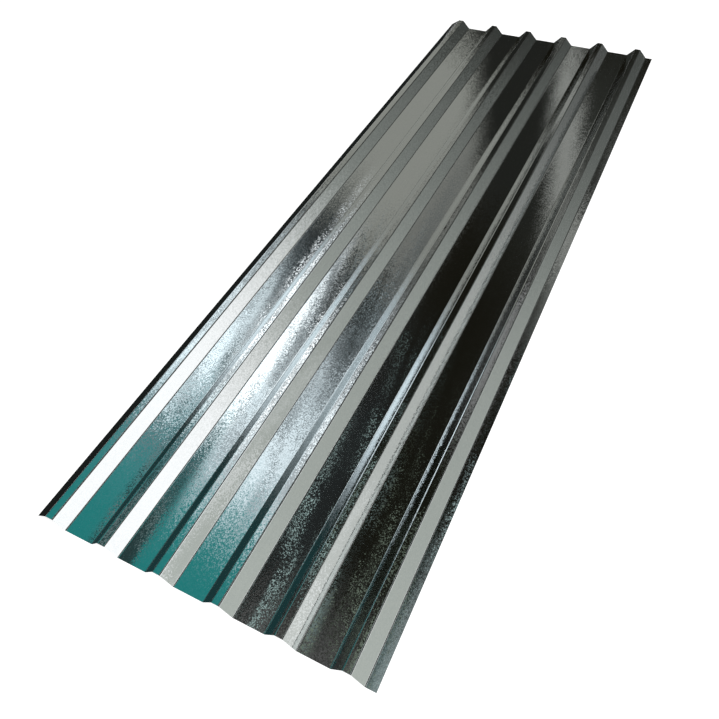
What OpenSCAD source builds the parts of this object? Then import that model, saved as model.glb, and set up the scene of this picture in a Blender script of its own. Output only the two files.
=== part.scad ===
// A galvanised steel roofing sheet, rolled to straight ribs with flat crests and wide flat pans between them.
// It is one piece of thin steel. It lies on its pans: length along Y, lip edge at -X, flange edge at +X, pans at Z = 0.

/* [Sheet] */
// Length along the ribs, in mm
sheet_length = 3000; // [1000:100:6000]
// Thickness of the steel, in mm
sheet_thickness = 0.5; // [0.4:0.05:1]

/* [Ribs] */
// Number of ribs side by side
rib_count = 6; // [2:1:8]
// Distance from one rib to the next, in mm
rib_pitch = 175; // [150:5:250]
// Height of a crest above the pans, in mm
rib_height = 35; // [25:1:60]
// Width of the flat top of a rib, in mm
crest_width = 22; // [14:1:40]
// Sideways run of each sloping side of a rib, in mm
web_run = 32; // [14:0.5:36]
// Radius on the inside of each bend, in mm
bend_radius = 4; // [1:0.5:6]

/* [Edges] */
// Sideways run of the lip that hangs from the first rib, in mm
lip_run = 38; // [20:1:50]
// Share of the rib's height that the lip comes down
lip_reach = 0.75; // [0.4:0.05:0.9]
// Width of the flat flange beside the last rib, in mm
flange_width = 29; // [12:1:50]

/* [Hidden] */
// Flat steps in each bend
bend_steps = 4;
half_thickness = sheet_thickness / 2;
mid_radius = bend_radius + half_thickness;
zinc_grey = [0.64, 0.66, 0.67];

// Fold points of the sheet's middle line, from the lip's edge to the flange's edge
function crest_start(k) = k * rib_pitch;
function crest_end(k) = crest_start(k) + crest_width;
function rib_folds(k) = [
    if (k > 0) [crest_start(k) - web_run, 0],
    [crest_start(k), rib_height],
    [crest_end(k), rib_height],
    [crest_end(k) + web_run, 0],
];
last_rib = rib_count - 1;
folds = [
    [-lip_run, rib_height * (1 - lip_reach)],
    for (k = [0:last_rib]) each rib_folds(k),
    [crest_end(last_rib) + web_run + flange_width, 0],
];
last_flat = len(folds) - 2;

// Direction of the flat that starts at fold i, and the upward normal of a direction
function heading(i) = (folds[i + 1] - folds[i]) / norm(folds[i + 1] - folds[i]);
function upward(d) = [-d.y, d.x];

// Signed angle that the sheet turns through at fold i
function turn(i) = asin(cross(heading(i - 1), heading(i)));

// Normal at one step of the bend at fold i
function bend_normal(i, step) =
    let (a = atan2(heading(i - 1).y, heading(i - 1).x) + turn(i) * step / bend_steps)
    upward([cos(a), sin(a)]);

// Centre of the bend at fold i
function bend_centre(i) =
    let (side = sign(turn(i)))
    folds[i] + mid_radius * (side * upward(heading(i - 1)) - tan(abs(turn(i)) / 2) * heading(i - 1));

// One face of the sheet as a line of points: side 1 is the upper face, side -1 the lower
function face(side) = [
    folds[0] + side * half_thickness * upward(heading(0)),
    for (i = [1:last_flat], step = [0:bend_steps])
        bend_centre(i) + (side * half_thickness - sign(turn(i)) * mid_radius) * bend_normal(i, step),
    folds[last_flat + 1] + side * half_thickness * upward(heading(last_flat)),
];

upper = face(1);
lower = face(-1);
section = concat(lower, [for (i = [len(upper) - 1:-1:0]) upper[i]]);
across = [for (p = section) p.x];
middle_x = (min(across) + max(across)) / 2;

module profiled_sheet() {
    color(zinc_grey)
        translate([-middle_x, 0, half_thickness])
            rotate([90, 0, 0])
                linear_extrude(height = sheet_length, center = true)
                    polygon(section);
}

profiled_sheet();
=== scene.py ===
"""Dresses a ribbed, zinc-coated roofing sheet and stands it in a plain pale studio."""

import logging
import math
from dataclasses import dataclass, field
from enum import Enum
from typing import Any, Optional

import bpy
import numpy as np
from mathutils import Matrix, Vector


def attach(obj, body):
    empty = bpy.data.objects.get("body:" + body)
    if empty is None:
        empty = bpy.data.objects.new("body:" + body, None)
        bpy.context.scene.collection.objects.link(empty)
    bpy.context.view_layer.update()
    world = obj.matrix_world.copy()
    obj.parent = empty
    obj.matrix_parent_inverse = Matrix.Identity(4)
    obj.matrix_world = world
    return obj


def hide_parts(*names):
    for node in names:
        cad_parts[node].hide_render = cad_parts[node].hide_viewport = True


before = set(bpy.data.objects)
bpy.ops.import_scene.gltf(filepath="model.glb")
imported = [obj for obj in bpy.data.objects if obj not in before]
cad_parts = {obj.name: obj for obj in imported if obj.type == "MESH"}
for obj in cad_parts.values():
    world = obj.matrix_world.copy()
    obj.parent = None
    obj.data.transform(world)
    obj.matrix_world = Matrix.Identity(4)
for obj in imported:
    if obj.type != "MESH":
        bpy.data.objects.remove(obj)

LOG = logging.getLogger("roofing_sheet")
IMAGE_SIDE = 719

Colour = tuple[float, float, float]
Place = tuple[float, float, float]
Span = tuple[float, float]
Edges = tuple[float, float, float, float]
Ramp = tuple[tuple[float, float], ...]


class Flat(Enum):
    """The kinds of flat strip that the rolled section is made of."""

    LIP = "lip"
    CREST = "crest"
    WEB = "web"
    PAN = "pan"
    FLANGE = "flange"


class Face(Enum):
    """The two faces of the steel, as the side of its middle line."""

    UPPER = 1.0
    LOWER = -1.0


# Points across each flat between its ends, and how far its middle stands off the true plane, in metres
INNER_POINTS = {Flat.PAN: 9, Flat.WEB: 3, Flat.CREST: 2, Flat.LIP: 3, Flat.FLANGE: 3}
SLACK_RISE = {Flat.PAN: 0.0001, Flat.CREST: -0.00006, Flat.WEB: 0.00005, Flat.LIP: 0.0, Flat.FLANGE: 0.0}


class NodeBoard:
    """A short way to lay out the nodes of one material or world."""

    def __init__(self, tree: bpy.types.NodeTree) -> None:
        """Takes a node tree and clears it."""
        self.tree = tree
        tree.nodes.clear()

    def add(self, kind: str, inputs: Optional[dict[Any, Any]] = None, **settings: Any) -> bpy.types.Node:
        """Adds a node.

        Args:
            kind: Blender's name for the node type.
            inputs: Values or output sockets by input name or number.
            **settings: Properties of the node itself.

        Returns:
            The new node.
        """
        node = self.tree.nodes.new(kind)
        for name, value in settings.items():
            setattr(node, name, value)
        for key, value in (inputs or {}).items():
            if isinstance(value, bpy.types.NodeSocket):
                self.tree.links.new(value, node.inputs[key])
            else:
                node.inputs[key].default_value = value
        return node

    def math(self, operation: str, *values: Any) -> bpy.types.NodeSocket:
        """Adds a math node for numbers or sockets and gives its result socket."""
        return self.add("ShaderNodeMath", dict(enumerate(values)), operation=operation).outputs[0]

    def vector(self, operation: str, *values: Any) -> bpy.types.NodeSocket:
        """Adds a vector math node for vectors or sockets and gives its result socket."""
        return self.add("ShaderNodeVectorMath", dict(enumerate(values)), operation=operation).outputs[0]

    def span(self, value: Any, source: Span, target: Span = (0.0, 1.0),
             smooth: bool = False) -> bpy.types.NodeSocket:
        """Maps a value from one range to another.

        Args:
            value: The number or socket to map.
            source: The range that the value comes from.
            target: The range that it goes to.
            smooth: Whether the ends ease in and out.

        Returns:
            The result socket.
        """
        inputs = dict(enumerate((value, *source, *target)))
        easing = "SMOOTHSTEP" if smooth else "LINEAR"
        return self.add("ShaderNodeMapRange", inputs, interpolation_type=easing).outputs[0]


@dataclass(frozen=True)
class SpangledZinc:
    """Bright hot-dip zinc: a mirror-like coat of small crystals, each leaning its own way.

    Sizes are in metres. A share is the crystals' part in a mix, and the streaks have the rest.
    """

    name: str = "galvanised_steel"
    dark_tone: Colour = (0.60, 0.625, 0.635)
    light_tone: Colour = (0.69, 0.705, 0.71)
    tone_share: float = 0.65
    crystal_size: float = 0.0025
    crystal_lean: Place = (0.0, 0.055, 0.0)
    roughness: Span = (0.025, 0.058)
    roughness_mix: Span = (0.1, 0.9)
    roughness_share: float = 0.6
    streak_width: float = 0.006
    streak_length: float = 0.35
    streak_detail: float = 3.0
    streak_breakup: float = 0.55

    def material(self) -> bpy.types.Material:
        """Builds the finish.

        Returns:
            The material.
        """
        made = bpy.data.materials.new(self.name)
        made.use_nodes = True
        board = NodeBoard(made.node_tree)
        place = board.add("ShaderNodeTexCoord").outputs["Object"]
        crystals = board.add("ShaderNodeTexVoronoi", {
            "Vector": place, "Scale": 1.0 / self.crystal_size, "Randomness": 1.0}).outputs["Color"]
        across, along = 1 / self.streak_width, 1 / self.streak_length
        stretched = board.vector("MULTIPLY", place, (across, along, across))
        streaks = board.add("ShaderNodeTexNoise", {
            "Vector": stretched, "Scale": 1.0, "Detail": self.streak_detail,
            "Roughness": self.streak_breakup}).outputs[0]
        crystal = board.add("ShaderNodeSeparateColor", {0: crystals}).outputs
        tone = self.mix(board, crystal[0], streaks, self.tone_share)
        colour = board.add("ShaderNodeValToRGB", {0: tone})
        colour.color_ramp.elements[0].color = (*self.dark_tone, 1.0)
        colour.color_ramp.elements[1].color = (*self.light_tone, 1.0)
        uneven = self.mix(board, crystal[1], streaks, self.roughness_share)
        rough = board.span(uneven, self.roughness_mix, self.roughness)
        lean = board.vector("SUBTRACT", crystals, (0.5, 0.5, 0.5))
        scaled = board.vector("MULTIPLY", lean, self.crystal_lean)
        upright = board.add("ShaderNodeNewGeometry").outputs["Normal"]
        leaning = board.vector("NORMALIZE", board.vector("ADD", upright, scaled))
        shader = board.add("ShaderNodeBsdfPrincipled", {
            "Base Color": colour.outputs[0], "Metallic": 1.0, "Roughness": rough, "Normal": leaning})
        board.add("ShaderNodeOutputMaterial", {0: shader.outputs[0]})
        return made

    @staticmethod
    def mix(board: NodeBoard, crystal: Any, streak: Any, share: float) -> bpy.types.NodeSocket:
        """Mixes a value of the crystals with one of the streaks, by the crystals' share."""
        parts = board.math("MULTIPLY", crystal, share), board.math("MULTIPLY", streak, 1.0 - share)
        return board.math("ADD", *parts)


@dataclass
class SectionPoint:
    """One point of the rolled section's middle line, with its upper normal and its flat."""

    x: float
    z: float
    nx: float
    nz: float
    kind: Flat
    number: int
    slack: float


@dataclass
class ProfiledSheet:
    """The sheet itself: thin steel rolled to straight ribs, in metres.

    The flats stand a little off their true planes, in a steady part, a long wave and a short wave.
    """

    length: float = 3.0
    thickness: float = 0.0005
    rib_count: int = 6
    rib_pitch: float = 0.175
    rib_height: float = 0.035
    crest_width: float = 0.022
    web_run: float = 0.032
    bend_radius: float = 0.004
    lip_run: float = 0.038
    lip_reach: float = 0.75
    flange_width: float = 0.029
    bend_steps: int = 6
    bend_support: float = 0.0015
    rows: int = 150
    sharp_angle: float = 40.0
    long_wave: float = 0.83
    short_wave: float = 0.47
    wave_shares: tuple[float, float, float] = (0.5, 0.3, 0.2)
    phase_step: float = 2.1
    phase_offset: float = 1.3
    short_phase: float = 1.7
    finish: SpangledZinc = field(default_factory=SpangledZinc)

    @property
    def mid_radius(self) -> float:
        """Gives the radius of the middle line in a bend."""
        return self.bend_radius + self.thickness / 2

    def folds(self) -> list[Span]:
        """Lists the fold points of the middle line.

        Returns:
            Points from the lip's edge to the flange's edge.
        """
        points = [(-self.lip_run, self.rib_height * (1 - self.lip_reach))]
        for k in range(self.rib_count):
            start = k * self.rib_pitch
            end = start + self.crest_width
            if k > 0:
                points.append((start - self.web_run, 0.0))
            points += [(start, self.rib_height), (end, self.rib_height), (end + self.web_run, 0.0)]
        points.append((points[-1][0] + self.flange_width, 0.0))
        return points

    def strip_kinds(self) -> list[Flat]:
        """Names each flat between the folds, in order."""
        rib = [Flat.CREST, Flat.WEB, Flat.PAN, Flat.WEB]
        return [Flat.LIP] + (rib * self.rib_count)[:-2] + [Flat.FLANGE]

    def section(self) -> list[SectionPoint]:
        """Traces the middle line with rounded bends and extra points on the flats.

        Returns:
            The points in order across the sheet.
        """
        folds = [Vector(p) for p in self.folds()]
        headings = [(b - a).normalized() for a, b in zip(folds, folds[1:])]
        turns = [-h.angle_signed(g) for h, g in zip(headings, headings[1:])]
        setbacks = [0.0] + [self.mid_radius * math.tan(abs(t) / 2) for t in turns] + [0.0]
        counts: dict[Flat, int] = {}
        points: list[SectionPoint] = []
        for i, (heading, kind) in enumerate(zip(headings, self.strip_kinds())):
            start = folds[i] + heading * setbacks[i]
            end = folds[i + 1] - heading * setbacks[i + 1]
            number = counts.get(kind, 0)
            counts[kind] = number + 1
            points += self.flat_points(start, end, heading, kind, number)
            if i < len(turns):
                points += self.bend_points(end, heading, turns[i], kind, number)
        return points

    def flat_points(self, start: Vector, end: Vector, heading: Vector, kind: Flat,
                    number: int) -> list[SectionPoint]:
        """Lays points across one flat, with one close beside each bend.

        Args:
            start: Where the flat starts.
            end: Where it ends.
            heading: Its direction.
            kind: The kind of flat.
            number: Its number among flats of that kind.

        Returns:
            The points in order.
        """
        span = (end - start).length
        support = self.bend_support / span
        inner = np.linspace(0, 1, INNER_POINTS[kind] + 2)[1:-1]
        points = []
        for share in (0.0, support, *inner, 1 - support, 1.0):
            spot = start + heading * span * share
            slack = math.sin(math.pi * share) ** 2
            points.append(SectionPoint(spot.x, spot.y, -heading.y, heading.x, kind, number, slack))
        return points

    def bend_points(self, end: Vector, heading: Vector, turn: float, kind: Flat,
                    number: int) -> list[SectionPoint]:
        """Lays points round the bend after a flat.

        Args:
            end: Where the flat ends and the bend starts.
            heading: The flat's direction.
            turn: The signed angle of the bend.
            kind: The kind of the flat.
            number: Its number among flats of that kind.

        Returns:
            The points in order, without the bend's two ends.
        """
        side = math.copysign(1.0, turn)
        centre = end + Vector((-heading.y, heading.x)) * self.mid_radius * side
        base = math.atan2(heading.y, heading.x)
        points = []
        for step in range(1, self.bend_steps):
            angle = base + turn * step / self.bend_steps
            normal = Vector((-math.sin(angle), math.cos(angle)))
            spot = centre - normal * self.mid_radius * side
            points.append(SectionPoint(spot.x, spot.y, normal.x, normal.y, kind, number, 0.0))
        return points

    def slackness(self, point: SectionPoint, y: np.ndarray) -> np.ndarray:
        """Gives how far a flat stands off its true plane, as thin rolled steel does.

        Args:
            point: The point of the section.
            y: Places along the sheet.

        Returns:
            The rise along the upper normal at each place.
        """
        phase = point.number * self.phase_step + (0.0 if point.kind is Flat.PAN else self.phase_offset)
        steady, long_share, short_share = self.wave_shares
        long_part = np.sin(2 * math.pi * y / self.long_wave + phase)
        short_part = np.sin(2 * math.pi * y / self.short_wave + self.short_phase * phase)
        wave = steady + long_share * long_part + short_share * short_part
        return SLACK_RISE[point.kind] * point.slack * wave

    def build(self) -> bpy.types.Object:
        """Builds the closed mesh of the sheet, dresses it and rides it on the part.

        Returns:
            The sheet.
        """
        section = self.section()
        y = np.linspace(-self.length / 2, self.length / 2, self.rows)
        half = self.thickness / 2
        grids = []
        for face in Face:
            grid = np.zeros((len(section), self.rows, 3))
            for i, point in enumerate(section):
                off = face.value * half + self.slackness(point, y)
                grid[i, :, 0] = point.x + point.nx * off
                grid[i, :, 1] = y
                grid[i, :, 2] = point.z + point.nz * off + half
            grids.append(grid)
        across = np.concatenate([g[:, :, 0] for g in grids])
        for grid in grids:
            grid[:, :, 0] -= (across.min() + across.max()) / 2
        vertices = np.concatenate([g.reshape(-1, 3) for g in grids])
        mesh = bpy.data.meshes.new("ribbed_sheet")
        mesh.from_pydata(vertices.tolist(), [], self.faces(len(section)))
        mesh.shade_smooth()
        mesh.set_sharp_from_angle(angle=math.radians(self.sharp_angle))
        mesh.update()
        sheet = bpy.data.objects.new("ribbed_sheet", mesh)
        bpy.context.scene.collection.objects.link(sheet)
        mesh.materials.append(self.finish.material())
        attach(sheet, "root")
        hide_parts("profiled_sheet")
        LOG.info("ribbed_sheet: %d points, %d faces", len(mesh.vertices), len(mesh.polygons))
        return sheet

    def faces(self, across: int) -> list[tuple[int, int, int, int]]:
        """Lists the faces of the closed sheet.

        Args:
            across: Number of points in the section.

        Returns:
            Corner numbers of each face, outward.
        """
        rows = self.rows
        total = across * rows
        quads = []
        for i in range(across - 1):
            for j in range(rows - 1):
                a, b = i * rows + j, (i + 1) * rows + j
                c, d = b + 1, a + 1
                quads.append((a, b, c, d))
                quads.append((total + d, total + c, total + b, total + a))
        for i in range(across - 1):
            near, near_next = i * rows, (i + 1) * rows
            far, far_next = near + rows - 1, near_next + rows - 1
            quads.append((near_next, near, total + near, total + near_next))
            quads.append((far, far_next, total + far_next, total + far))
        last = (across - 1) * rows
        for j in range(rows - 1):
            quads.append((j, j + 1, total + j + 1, total + j))
            quads.append((last + j + 1, last + j, total + last + j, total + last + j + 1))
        return quads


@dataclass(frozen=True)
class Dapple:
    """Small soft spots over a card, counted across and along it."""

    across: float
    along: float
    low: float = 0.45
    high: float = 0.60

    def mask(self, board: NodeBoard) -> bpy.types.NodeSocket:
        """Builds the spots.

        Args:
            board: The node board of the card.

        Returns:
            The result socket: 1 inside a spot and 0 outside.
        """
        place = board.add("ShaderNodeTexCoord").outputs["UV"]
        counted = board.vector("MULTIPLY", place, (self.across, self.along, 0.0))
        spots = board.add("ShaderNodeTexNoise", {"Vector": counted, "Scale": 1.0, "Detail": 1.0})
        return board.span(spots.outputs[0], (self.low, self.high), smooth=True)


@dataclass(frozen=True)
class SoftCard:
    """A plain card with soft edges that the metal mirrors.

    The edges are shares of the card's width at its start and end, then of its length.
    The ramp gives the glow along the card. The cover is the share that it hides of what is behind.
    """

    name: str
    colour: Colour
    edges: Edges
    ramp: Ramp = ()
    cover: float = 1.0
    dapple: Optional[Dapple] = None

    def material(self) -> bpy.types.Material:
        """Builds the card's own glow, which fades out at its edges.

        Returns:
            The material.
        """
        made = bpy.data.materials.new(self.name)
        made.use_nodes = True
        made.cycles.emission_sampling = "NONE"
        board = NodeBoard(made.node_tree)
        coordinates = board.add("ShaderNodeTexCoord").outputs["UV"]
        place = board.add("ShaderNodeSeparateXYZ", {0: coordinates}).outputs
        level = self.level(board, place[1])
        glow = board.add("ShaderNodeEmission", {
            "Color": (*self.colour, 1.0), "Strength": level}).outputs[0]
        masks = self.masks(board, place)
        if masks:
            mask = masks[0]
            for other in masks[1:]:
                mask = board.math("MULTIPLY", mask, other)
            clear = board.add("ShaderNodeBsdfTransparent").outputs[0]
            glow = board.add("ShaderNodeMixShader", {0: mask, 1: clear, 2: glow}).outputs[0]
        board.add("ShaderNodeOutputMaterial", {0: glow})
        return made

    def masks(self, board: NodeBoard, place: Any) -> list[Any]:
        """Builds what thins the card: its cover, its soft edges and its spots.

        Args:
            board: The node board of the card.
            place: The places across and along the card.

        Returns:
            Numbers or sockets to multiply.
        """
        masks: list[Any] = [self.cover] if self.cover < 1.0 else []
        for side, edge in enumerate(self.edges):
            if edge > 0:
                fade = (1.0, 1.0 - edge) if side % 2 else (0.0, edge)
                masks.append(board.span(place[side // 2], fade, smooth=True))
        if self.dapple is not None:
            masks.append(self.dapple.mask(board))
        return masks

    def level(self, board: NodeBoard, along: Any) -> Any:
        """Builds the strength of the glow.

        Args:
            board: The node board of the card.
            along: The place along the card.

        Returns:
            A number, or a socket where the card has a ramp.
        """
        if not self.ramp:
            return 1.0
        curve = board.add("ShaderNodeFloatCurve", {"Value": along})
        points = curve.mapping.curves[0].points
        for i, (stop, height) in enumerate(self.ramp):
            point = points[i] if i < 2 else points.new(stop, height)
            point.location = (stop, height)
        curve.mapping.update()
        return curve.outputs[0]

    def hang(self, grid: np.ndarray) -> bpy.types.Object:
        """Hangs the card on a grid of points.

        Args:
            grid: Points by column and row, with the card's width along the columns.

        Returns:
            The card.
        """
        columns, rows = grid.shape[:2]
        corners = [(i * rows + j, (i + 1) * rows + j, (i + 1) * rows + j + 1, i * rows + j + 1)
                   for i in range(columns - 1) for j in range(rows - 1)]
        mesh = bpy.data.meshes.new(self.name)
        mesh.from_pydata(grid.reshape(-1, 3).tolist(), [], corners)
        spots = mesh.uv_layers.new(name="card")
        for loop in mesh.loops:
            column, row = divmod(loop.vertex_index, rows)
            spots.data[loop.index].uv = (column / (columns - 1), row / (rows - 1))
        card = bpy.data.objects.new(self.name, mesh)
        bpy.context.scene.collection.objects.link(card)
        mesh.materials.append(self.material())
        card.visible_camera = False
        card.visible_diffuse = False
        card.visible_shadow = False
        return card


@dataclass(frozen=True)
class VaultCard(SoftCard):
    """A card bent round a long line above or below the sheet, like part of a tunnel.

    The roll goes from 0 degrees at the lip side over the top to 180 at the flange side.
    The reach along the tunnel counts in radii from the line's start.
    """

    roll: Span = (0.0, 180.0)
    reach: Span = (0.0, 2.0)
    axis: Place = (0.0, 0.0, 0.0)
    radius: float = 20.0
    columns: int = 25

    def build(self) -> bpy.types.Object:
        """Hangs the card in the tunnel.

        Returns:
            The card.
        """
        x, y, z = self.axis
        grid = np.zeros((self.columns, 2, 3))
        for i, roll in enumerate(np.radians(np.linspace(*self.roll, self.columns))):
            for j, reach in enumerate(self.reach):
                grid[i, j] = (x - self.radius * math.cos(roll), y + self.radius * reach,
                              z + self.radius * math.sin(roll))
        return self.hang(grid)


@dataclass(frozen=True)
class FlatCard(SoftCard):
    """A level card, turned about the upright."""

    centre: Place = (0.0, 0.0, 0.0)
    size: Span = (1.0, 1.0)
    turn: float = 0.0

    def build(self) -> bpy.types.Object:
        """Hangs the card level.

        Returns:
            The card.
        """
        spin = Matrix.Rotation(math.radians(self.turn), 3, "Z")
        grid = np.zeros((2, 2, 3))
        for i, x in enumerate((-0.5, 0.5)):
            for j, y in enumerate((-0.5, 0.5)):
                corner = Vector((x * self.size[0], y * self.size[1], 0.0))
                grid[i, j] = Vector(self.centre) + spin @ corner
        return self.hang(grid)


DARK = (0.011, 0.0105, 0.007)

# The cards overhead, from the farthest layer to the nearest.
# Each row has a name, colour, cover, edges (roll's start and end, then near and far), roll and reach.
OVERHEAD_ROWS: list[tuple[str, Colour, float, Edges, Span, Span]] = [
    ("dark_vault", DARK, 1.0, (0.0, 0.02, 0.16, 0.05), (-4.0, 70.5), (-0.15, 2.4)),
    ("dim_vault", DARK, 1.0, (0.02, 0.05, 0.30, 0.05), (68.95, 81.2), (-0.5, 2.4)),
    ("flange_vault", DARK, 1.0, (0.02, 0.02, 0.26, 0.05), (80.3, 84.6), (-0.15, 2.4)),
    ("dark_roof", (0.040, 0.041, 0.037), 1.0, (0.01, 0.02, 0.06, 0.05), (84.0, 142.5), (0.05, 2.4)),
    ("grey_wall", (0.345, 0.350, 0.315), 1.0, (0.0, 0.01, 0.16, 0.15), (2.0, 68.95), (0.76, 1.65)),
    ("grey_low", (0.405, 0.410, 0.370), 1.0, (0.0, 0.1, 0.16, 0.15), (2.0, 50.0), (0.76, 1.65)),
    ("dim_wall", (0.225, 0.227, 0.207), 1.0, (0.12, 0.12, 0.2, 0.18), (63.4, 69.2), (0.76, 1.38)),
    ("dark_gap", (0.030, 0.036, 0.038), 1.0, (0.25, 0.02, 0.25, 0.60), (54.9, 58.9), (0.62, 1.04)),
    ("teal_low", (0.022, 0.070, 0.072), 1.0, (0.0, 0.2, 0.3, 0.22), (2.0, 55.0), (-0.2, 0.47)),
    ("teal_door", (0.026, 0.280, 0.268), 1.0, (0.2, 0.02, 0.3, 0.32), (46.0, 68.95), (-0.2, 0.50)),
    ("teal_haze", (0.17, 0.42, 0.46), 0.8, (0.1, 0.02, 0.75, 0.2), (50.0, 68.95), (0.19, 0.56)),
    ("glare_low", (1.30, 1.48, 1.56), 1.0, (0.0, 0.06, 0.40, 0.50), (2.0, 53.0), (0.38, 0.93)),
    ("dim_low", (0.20, 0.25, 0.26), 0.65, (0.2, 0.2, 0.2, 0.3), (29.0, 34.5), (0.34, 0.82)),
    ("glare_lip", (1.62, 1.85, 1.94), 1.0, (0.1, 0.40, 0.40, 0.52), (52.0, 59.4), (0.32, 0.79)),
    ("glare_mid", (2.38, 2.55, 2.62), 1.0, (0.02, 0.02, 0.36, 0.55), (58.75, 61.45), (0.34, 0.91)),
    ("glare_right", (1.24, 1.40, 1.47), 1.0, (0.03, 0.06, 0.36, 0.66), (61.4, 68.95), (0.26, 0.745)),
    ("dim_half", (0.10, 0.12, 0.125), 0.45, (0.15, 0.15, 0.3, 0.3), (66.0, 67.7), (0.40, 1.30)),
    ("dark_band", (0.030, 0.050, 0.050), 0.95, (0.1, 0.03, 0.3, 0.3), (58.1, 61.45), (-0.2, 0.44)),
    ("dim_patch", (0.022, 0.025, 0.025), 1.0, (0.3, 0.3, 0.2, 0.6), (69.0, 73.2), (0.22, 0.85)),
    ("far_patch", (0.075, 0.079, 0.070), 0.8, (0.2, 0.3, 0.3, 0.3), (69.4, 74.0), (1.05, 1.75)),
    ("far_haze", (0.034, 0.036, 0.031), 0.9, (0.15, 0.1, 0.35, 0.45), (74.0, 80.3), (0.85, 2.2)),
    ("flange_teal", (0.25, 0.36, 0.355), 0.75, (0.15, 0.2, 0.1, 0.7), (80.2, 83.5), (-0.05, 0.50)),
    ("pale_spot", (0.30, 0.30, 0.295), 1.0, (0.1, 0.3, 0.35, 0.4), (78.25, 80.6), (0.57, 1.05)),
    ("flange_glow", (0.17, 0.175, 0.163), 1.0, (0.3, 0.3, 0.2, 0.85), (80.3, 83.5), (0.75, 1.95)),
    ("crest_glare_1", (1.15, 1.27, 1.31), 0.8, (0.1, 0.1, 0.36, 0.5), (53.9, 55.5), (0.44, 0.95)),
    ("crest_glare_2", (2.4, 2.5, 2.54), 0.9, (0.1, 0.1, 0.36, 0.6), (58.55, 59.7), (0.34, 1.02)),
    ("crest_glare_3", (2.4, 2.48, 2.5), 0.9, (0.1, 0.1, 0.36, 0.5), (62.95, 64.3), (0.30, 0.80)),
    ("crest_glare_4", (1.8, 1.9, 1.94), 0.8, (0.1, 0.1, 0.36, 0.5), (67.75, 68.95), (0.28, 0.86)),
    ("far_low", DARK, 1.0, (0.0, 0.2, 0.12, 0.05), (10.0, 29.0), (1.32, 2.4)),
    ("far_mid", DARK, 1.0, (0.0, 0.1, 0.10, 0.05), (10.0, 33.2), (1.43, 2.4)),
]

# The spotted glowing cards in front of those, seen only in reflection: their spots paint a speckled
# reflection, which adds to the grain of the leaning crystals. The spots come last in each row.
DAPPLE_ROWS: list[tuple[str, Colour, float, Edges, Span, Span, Dapple]] = [
    ("dark_dapple", (0.02, 0.03, 0.032), 0.66, (0.2, 0.01, 0.15, 0.25), (40.0, 68.95), (0.30, 0.98),
     Dapple(18.0, 14.0)),
    ("band_dapple", (0.20, 0.28, 0.28), 1.0, (0.1, 0.02, 0.3, 0.3), (58.1, 61.45), (-0.2, 0.44),
     Dapple(2.0, 12.0, 0.55, 0.62)),
    ("blue_dapple", (0.36, 0.43, 0.45), 1.0, (0.05, 0.05, 0.3, 0.4), (59.5, 67.6), (0.58, 1.0),
     Dapple(6.0, 14.0, 0.58, 0.65)),
    ("light_dapple", (0.45, 0.61, 0.58), 1.0, (0.02, 0.3, 0.1, 0.75), (69.0, 76.0), (0.08, 0.85),
     Dapple(4.0, 15.0, 0.57, 0.63)),
    ("olive_dapple", (0.21, 0.26, 0.20), 1.0, (0.1, 0.02, 0.1, 0.75), (73.0, 81.0), (0.08, 0.75),
     Dapple(5.0, 15.0, 0.58, 0.64)),
    ("flange_dapple", (0.42, 0.54, 0.53), 1.0, (0.05, 0.05, 0.1, 0.7), (80.9, 84.0), (0.08, 0.95),
     Dapple(2.0, 18.0, 0.57, 0.63)),
]

# How the wall on the flange side fades along the sheet: reach and level
SIDE_REACH = (-0.3, 2.2)
SIDE_FADE = (
    (-0.3, 0.66), (0.162, 0.62), (0.385, 0.54), (0.60, 0.48), (0.826, 0.40),
    (1.045, 0.29), (1.264, 0.212), (1.4835, 0.155), (1.709, 0.12), (2.2, 0.05),
)


@dataclass(frozen=True)
class StudioCamera:
    """The camera at the photograph's viewing angle."""

    eye: Place = (0.76231, -1.90028, 1.74560)
    right: Place = (0.894563, 0.443537, -0.055069)
    down: Place = (0.288155, -0.666538, -0.687527)
    forward: Place = (-0.341649, 0.599168, -0.724067)
    focal_pixels: float = 725.026
    shift_y: float = -0.078
    sensor_width: float = 36.0
    clip_end: float = 200.0

    def build(self) -> bpy.types.Object:
        """Sets up the camera.

        Returns:
            The camera.
        """
        data = bpy.data.cameras.new("studio_camera")
        data.sensor_width = self.sensor_width
        data.lens = self.focal_pixels / IMAGE_SIDE * self.sensor_width
        data.shift_y = self.shift_y
        data.clip_end = self.clip_end
        camera = bpy.data.objects.new("studio_camera", data)
        axes = Matrix((self.right, -Vector(self.down), -Vector(self.forward))).transposed().to_4x4()
        camera.matrix_world = Matrix.Translation(self.eye) @ axes
        bpy.context.scene.collection.objects.link(camera)
        bpy.context.scene.camera = camera
        return camera

    def mirrored_eye(self) -> Place:
        """Gives the eye's mirror image in the flat pans."""
        return self.eye[0], self.eye[1], -self.eye[2]


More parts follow.
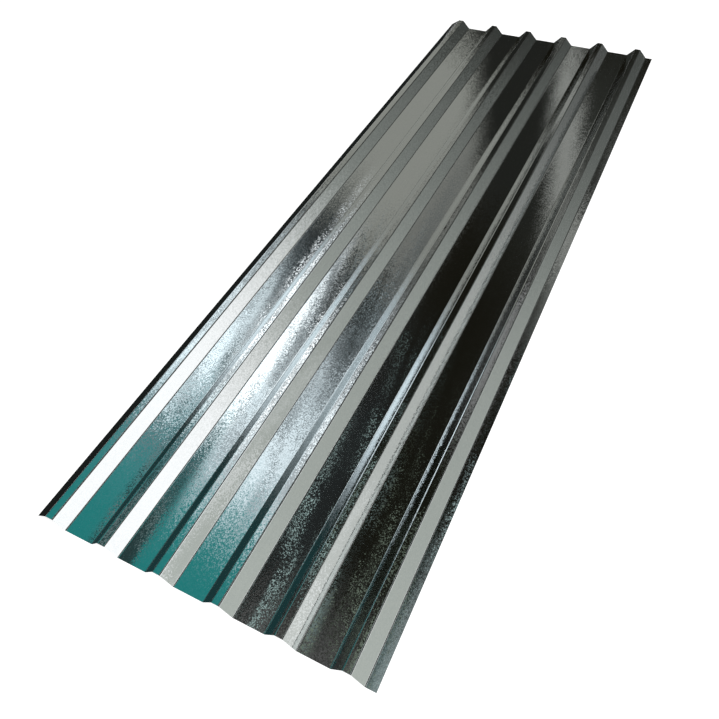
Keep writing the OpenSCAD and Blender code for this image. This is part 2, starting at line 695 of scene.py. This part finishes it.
@dataclass
class Studio:
    """Floor, light and cards around the sheet, in metres."""

    camera: StudioCamera
    radius: float = 20.0
    layer_step: float = 0.1
    roof_radius: float = 16.0
    crest_radius: float = 8.0
    floor_reach: float = 60.0
    floor_drop: float = 0.0004
    floor_tone: Colour = (0.8, 0.8, 0.8)
    floor_glow: float = 0.45
    dark_card_drop: float = 0.0002
    fill_level: float = 0.7
    lamp_size: Span = (4.0, 3.0)
    lamp_energy: float = 160.0
    lamp_place: Place = (2.5, -3.5, 4.5)

    def layer(self, number: int) -> float:
        """Gives the radius of a layer of cards, counted inwards from the outermost."""
        return self.radius - self.layer_step * number

    def overhead_cards(self) -> list[VaultCard]:
        """Lists the cards that the pans and crests mirror, from the farthest layer to the nearest.

        Returns:
            The cards.
        """
        axis = self.camera.mirrored_eye()
        rows = [*((*row, None) for row in OVERHEAD_ROWS), *DAPPLE_ROWS]
        cards = [VaultCard(name, colour, edges, cover=cover, dapple=dapple, roll=roll, reach=reach,
                           axis=axis, radius=self.layer(number))
                 for number, (name, colour, cover, edges, roll, reach, dapple) in enumerate(rows)]
        cards.append(VaultCard("crest_shade", (0.060, 0.062, 0.056), (0.15, 0.15, 0.3, 0.3), cover=0.8,
                               roll=(78.35, 79.6), reach=(1.0, 1.8), axis=axis,
                               radius=self.crest_radius))
        return cards

    def side_cards(self) -> list[VaultCard]:
        """Lists the cards that the flange side of each rib mirrors, and the wall behind the camera.

        Returns:
            The cards.
        """
        near, far = SIDE_REACH
        fade = tuple(((reach - near) / (far - near), level) for reach, level in SIDE_FADE)
        strip_fade = tuple((stop, level * 1.3) for stop, level in fade)
        roof_fade = tuple((stop, level * 2.0) for stop, level in fade)
        back_fade = ((0.0, 0.25), (0.55, 0.5), (0.8, 1.0), (1.0, 1.0))
        return [
            VaultCard("side_wall", (0.98, 1.04, 0.96), (0.05, 0.0, 0.1, 0.0), fade,
                      roll=(143.0, 180.0), reach=(near, far), radius=self.layer(0)),
            VaultCard("side_window", (1.5, 1.5, 1.5), (0.15, 0.45, 0.15, 0.48),
                      roll=(147.5, 153.5), reach=(near, 1.01), radius=self.layer(1)),
            VaultCard("side_strip", (1.0, 1.03, 0.98), (0.35, 0.35, 0.1, 0.0), strip_fade,
                      roll=(165.5, 172.5), reach=(near, far), radius=self.layer(3)),
            VaultCard("roof_strip", (1.0, 1.03, 0.98), (0.3, 0.3, 0.1, 0.0), roof_fade,
                      roll=(92.6, 98.2), reach=(near, far), radius=self.roof_radius),
            VaultCard("side_pane", (1.5, 1.5, 1.5), (0.1, 0.3, 0.2, 0.45),
                      roll=(151.5, 157.5), reach=(near, 0.72), radius=self.layer(2)),
            # Spotted glowing cards seen only in reflection: painted speckle in the reflections on the
            # flange side of each rib
            VaultCard("side_speckle_glow", (0.98, 1.0, 0.98), (0.2, 0.2, 0.2, 0.6),
                      dapple=Dapple(3.0, 15.0, 0.42, 0.58),
                      roll=(156.9, 162.2), reach=(near, 0.75), radius=self.layer(5)),
            VaultCard("strip_speckle_glow", (1.2, 1.22, 1.2), (0.2, 0.2, 0.2, 0.6),
                      dapple=Dapple(3.0, 15.0, 0.48, 0.60),
                      roll=(166.5, 172.0), reach=(near, 0.55), radius=self.layer(6)),
            VaultCard("back_wall", (0.46, 0.47, 0.46), (0.04, 0.04, 0.0, 0.06), back_fade,
                      roll=(-3.0, 183.0), reach=(-9.0, -0.45), radius=self.layer(0)),
            VaultCard("side_end", (0.04, 0.043, 0.038), (0.0, 0.05, 0.35, 0.0), cover=0.75,
                      roll=(147.0, 162.0), reach=(1.45, far), radius=self.layer(4)),
        ]

    def level_cards(self) -> list[FlatCard]:
        """Lists the level cards: two that the far pans mirror, and dark cards by the lip and the far
        end, seen only in reflection, which paint dark reflections there.

        Returns:
            The cards.
        """
        height = self.radius / 2
        eye_x, eye_y, eye_z = self.camera.eye
        grow = (height + eye_z) / eye_z

        def overhead(x: float, y: float, layer: int = 0) -> Place:
            """Finds the spot overhead that a spot on the pans mirrors, on a layer counted downwards."""
            z = height - self.layer_step / 2 * layer
            return eye_x + (x - eye_x) * grow, eye_y + (y - eye_y) * grow, z

        return [
            FlatCard("dark_corner", (0.020, 0.021, 0.018), (0.21, 0.15, 0.0, 0.0),
                     centre=overhead(-0.1385, 1.41), size=(0.52 * grow, 2.6 * grow), turn=22.0),
            FlatCard("grey_bar", (0.34, 0.345, 0.32), (0.45, 0.45, 0.1, 0.1),
                     centre=overhead(0.300, 0.75, 1), size=(0.20 * grow, 1.8 * grow), turn=14.4),
            # Dark cards seen only in reflection: painted dark reflection on the lip and beyond the far
            # end, where the metal would mirror the white floor
            FlatCard("lip_dark_reflection_card", (0.014, 0.016, 0.015), (0.3, 0.0, 0.0, 0.0),
                     centre=(-0.60, 0.0, -self.dark_card_drop), size=(0.30, 3.1)),
            FlatCard("end_dark_reflection_card", (0.030, 0.032, 0.028), (0.1, 0.1, 0.0, 0.4),
                     centre=(0.0, 1.95, -self.dark_card_drop), size=(1.4, 0.9)),
        ]

    def build_cards(self) -> None:
        """Hangs all the cards."""
        cards = [*self.overhead_cards(), *self.side_cards(), *self.level_cards()]
        for card in cards:
            card.build()
        LOG.info("studio: floor, lamp and %d cards", len(cards))

    def build_floor(self) -> None:
        """Lays the pale floor, which keeps the sheet's soft shadow."""
        reach = self.floor_reach
        corners = [(-reach, -reach, 0), (reach, -reach, 0), (reach, reach, 0), (-reach, reach, 0)]
        mesh = bpy.data.meshes.new("floor")
        mesh.from_pydata(corners, [], [(0, 1, 2, 3)])
        floor = bpy.data.objects.new("floor", mesh)
        floor.location.z = -self.floor_drop
        bpy.context.scene.collection.objects.link(floor)
        made = bpy.data.materials.new("pale_floor")
        made.use_nodes = True
        board = NodeBoard(made.node_tree)
        matt = board.add("ShaderNodeBsdfDiffuse", {"Color": (*self.floor_tone, 1.0)})
        strength = board.math("MULTIPLY", self.seen(board), self.floor_glow)
        glow = board.add("ShaderNodeEmission", {"Color": (1.0, 1.0, 1.0, 1.0), "Strength": strength})
        both = board.add("ShaderNodeAddShader", {0: matt.outputs[0], 1: glow.outputs[0]})
        board.add("ShaderNodeOutputMaterial", {0: both.outputs[0]})
        mesh.materials.append(made)

    def seen(self, board: NodeBoard) -> bpy.types.NodeSocket:
        """Gives 1 for rays that show the background, straight or through metal and glass.

        Args:
            board: The node board to add to.

        Returns:
            The result socket.
        """
        path = board.add("ShaderNodeLightPath").outputs
        direct = board.math("MAXIMUM", path["Is Camera Ray"], path["Is Glossy Ray"])
        return board.math("MAXIMUM", direct, path["Is Transmission Ray"])

    def build_world(self) -> None:
        """Fills the room with plain white light."""
        world = bpy.data.worlds.new("studio_world")
        bpy.context.scene.world = world
        world.use_nodes = True
        board = NodeBoard(world.node_tree)
        level = board.span(self.seen(board), (0.0, 1.0), (self.fill_level, 1.0))
        light = board.add("ShaderNodeBackground", {"Color": (1.0, 1.0, 1.0, 1.0), "Strength": level})
        board.add("ShaderNodeOutputWorld", {0: light.outputs[0]})

    def build_lamp(self) -> None:
        """Hangs one wide soft lamp behind the camera."""
        data = bpy.data.lights.new("soft_lamp", "AREA")
        data.shape = "RECTANGLE"
        data.size, data.size_y = self.lamp_size
        data.energy = self.lamp_energy
        lamp = bpy.data.objects.new("soft_lamp", data)
        lamp.location = self.lamp_place
        lamp.rotation_euler = (-lamp.location).to_track_quat("-Z", "Y").to_euler()
        lamp.visible_glossy = False
        bpy.context.scene.collection.objects.link(lamp)

    def build(self) -> None:
        """Builds the whole studio."""
        self.build_world()
        self.build_floor()
        self.build_lamp()
        self.build_cards()
        bpy.context.scene.view_settings.view_transform = "Standard"


def main() -> None:
    """Builds the camera, the sheet and the studio."""
    logging.basicConfig(level=logging.INFO, format="%(name)s %(message)s")
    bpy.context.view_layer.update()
    camera = StudioCamera()
    camera.build()
    ProfiledSheet().build()
    Studio(camera).build()


if __name__ == "__main__":
    main()
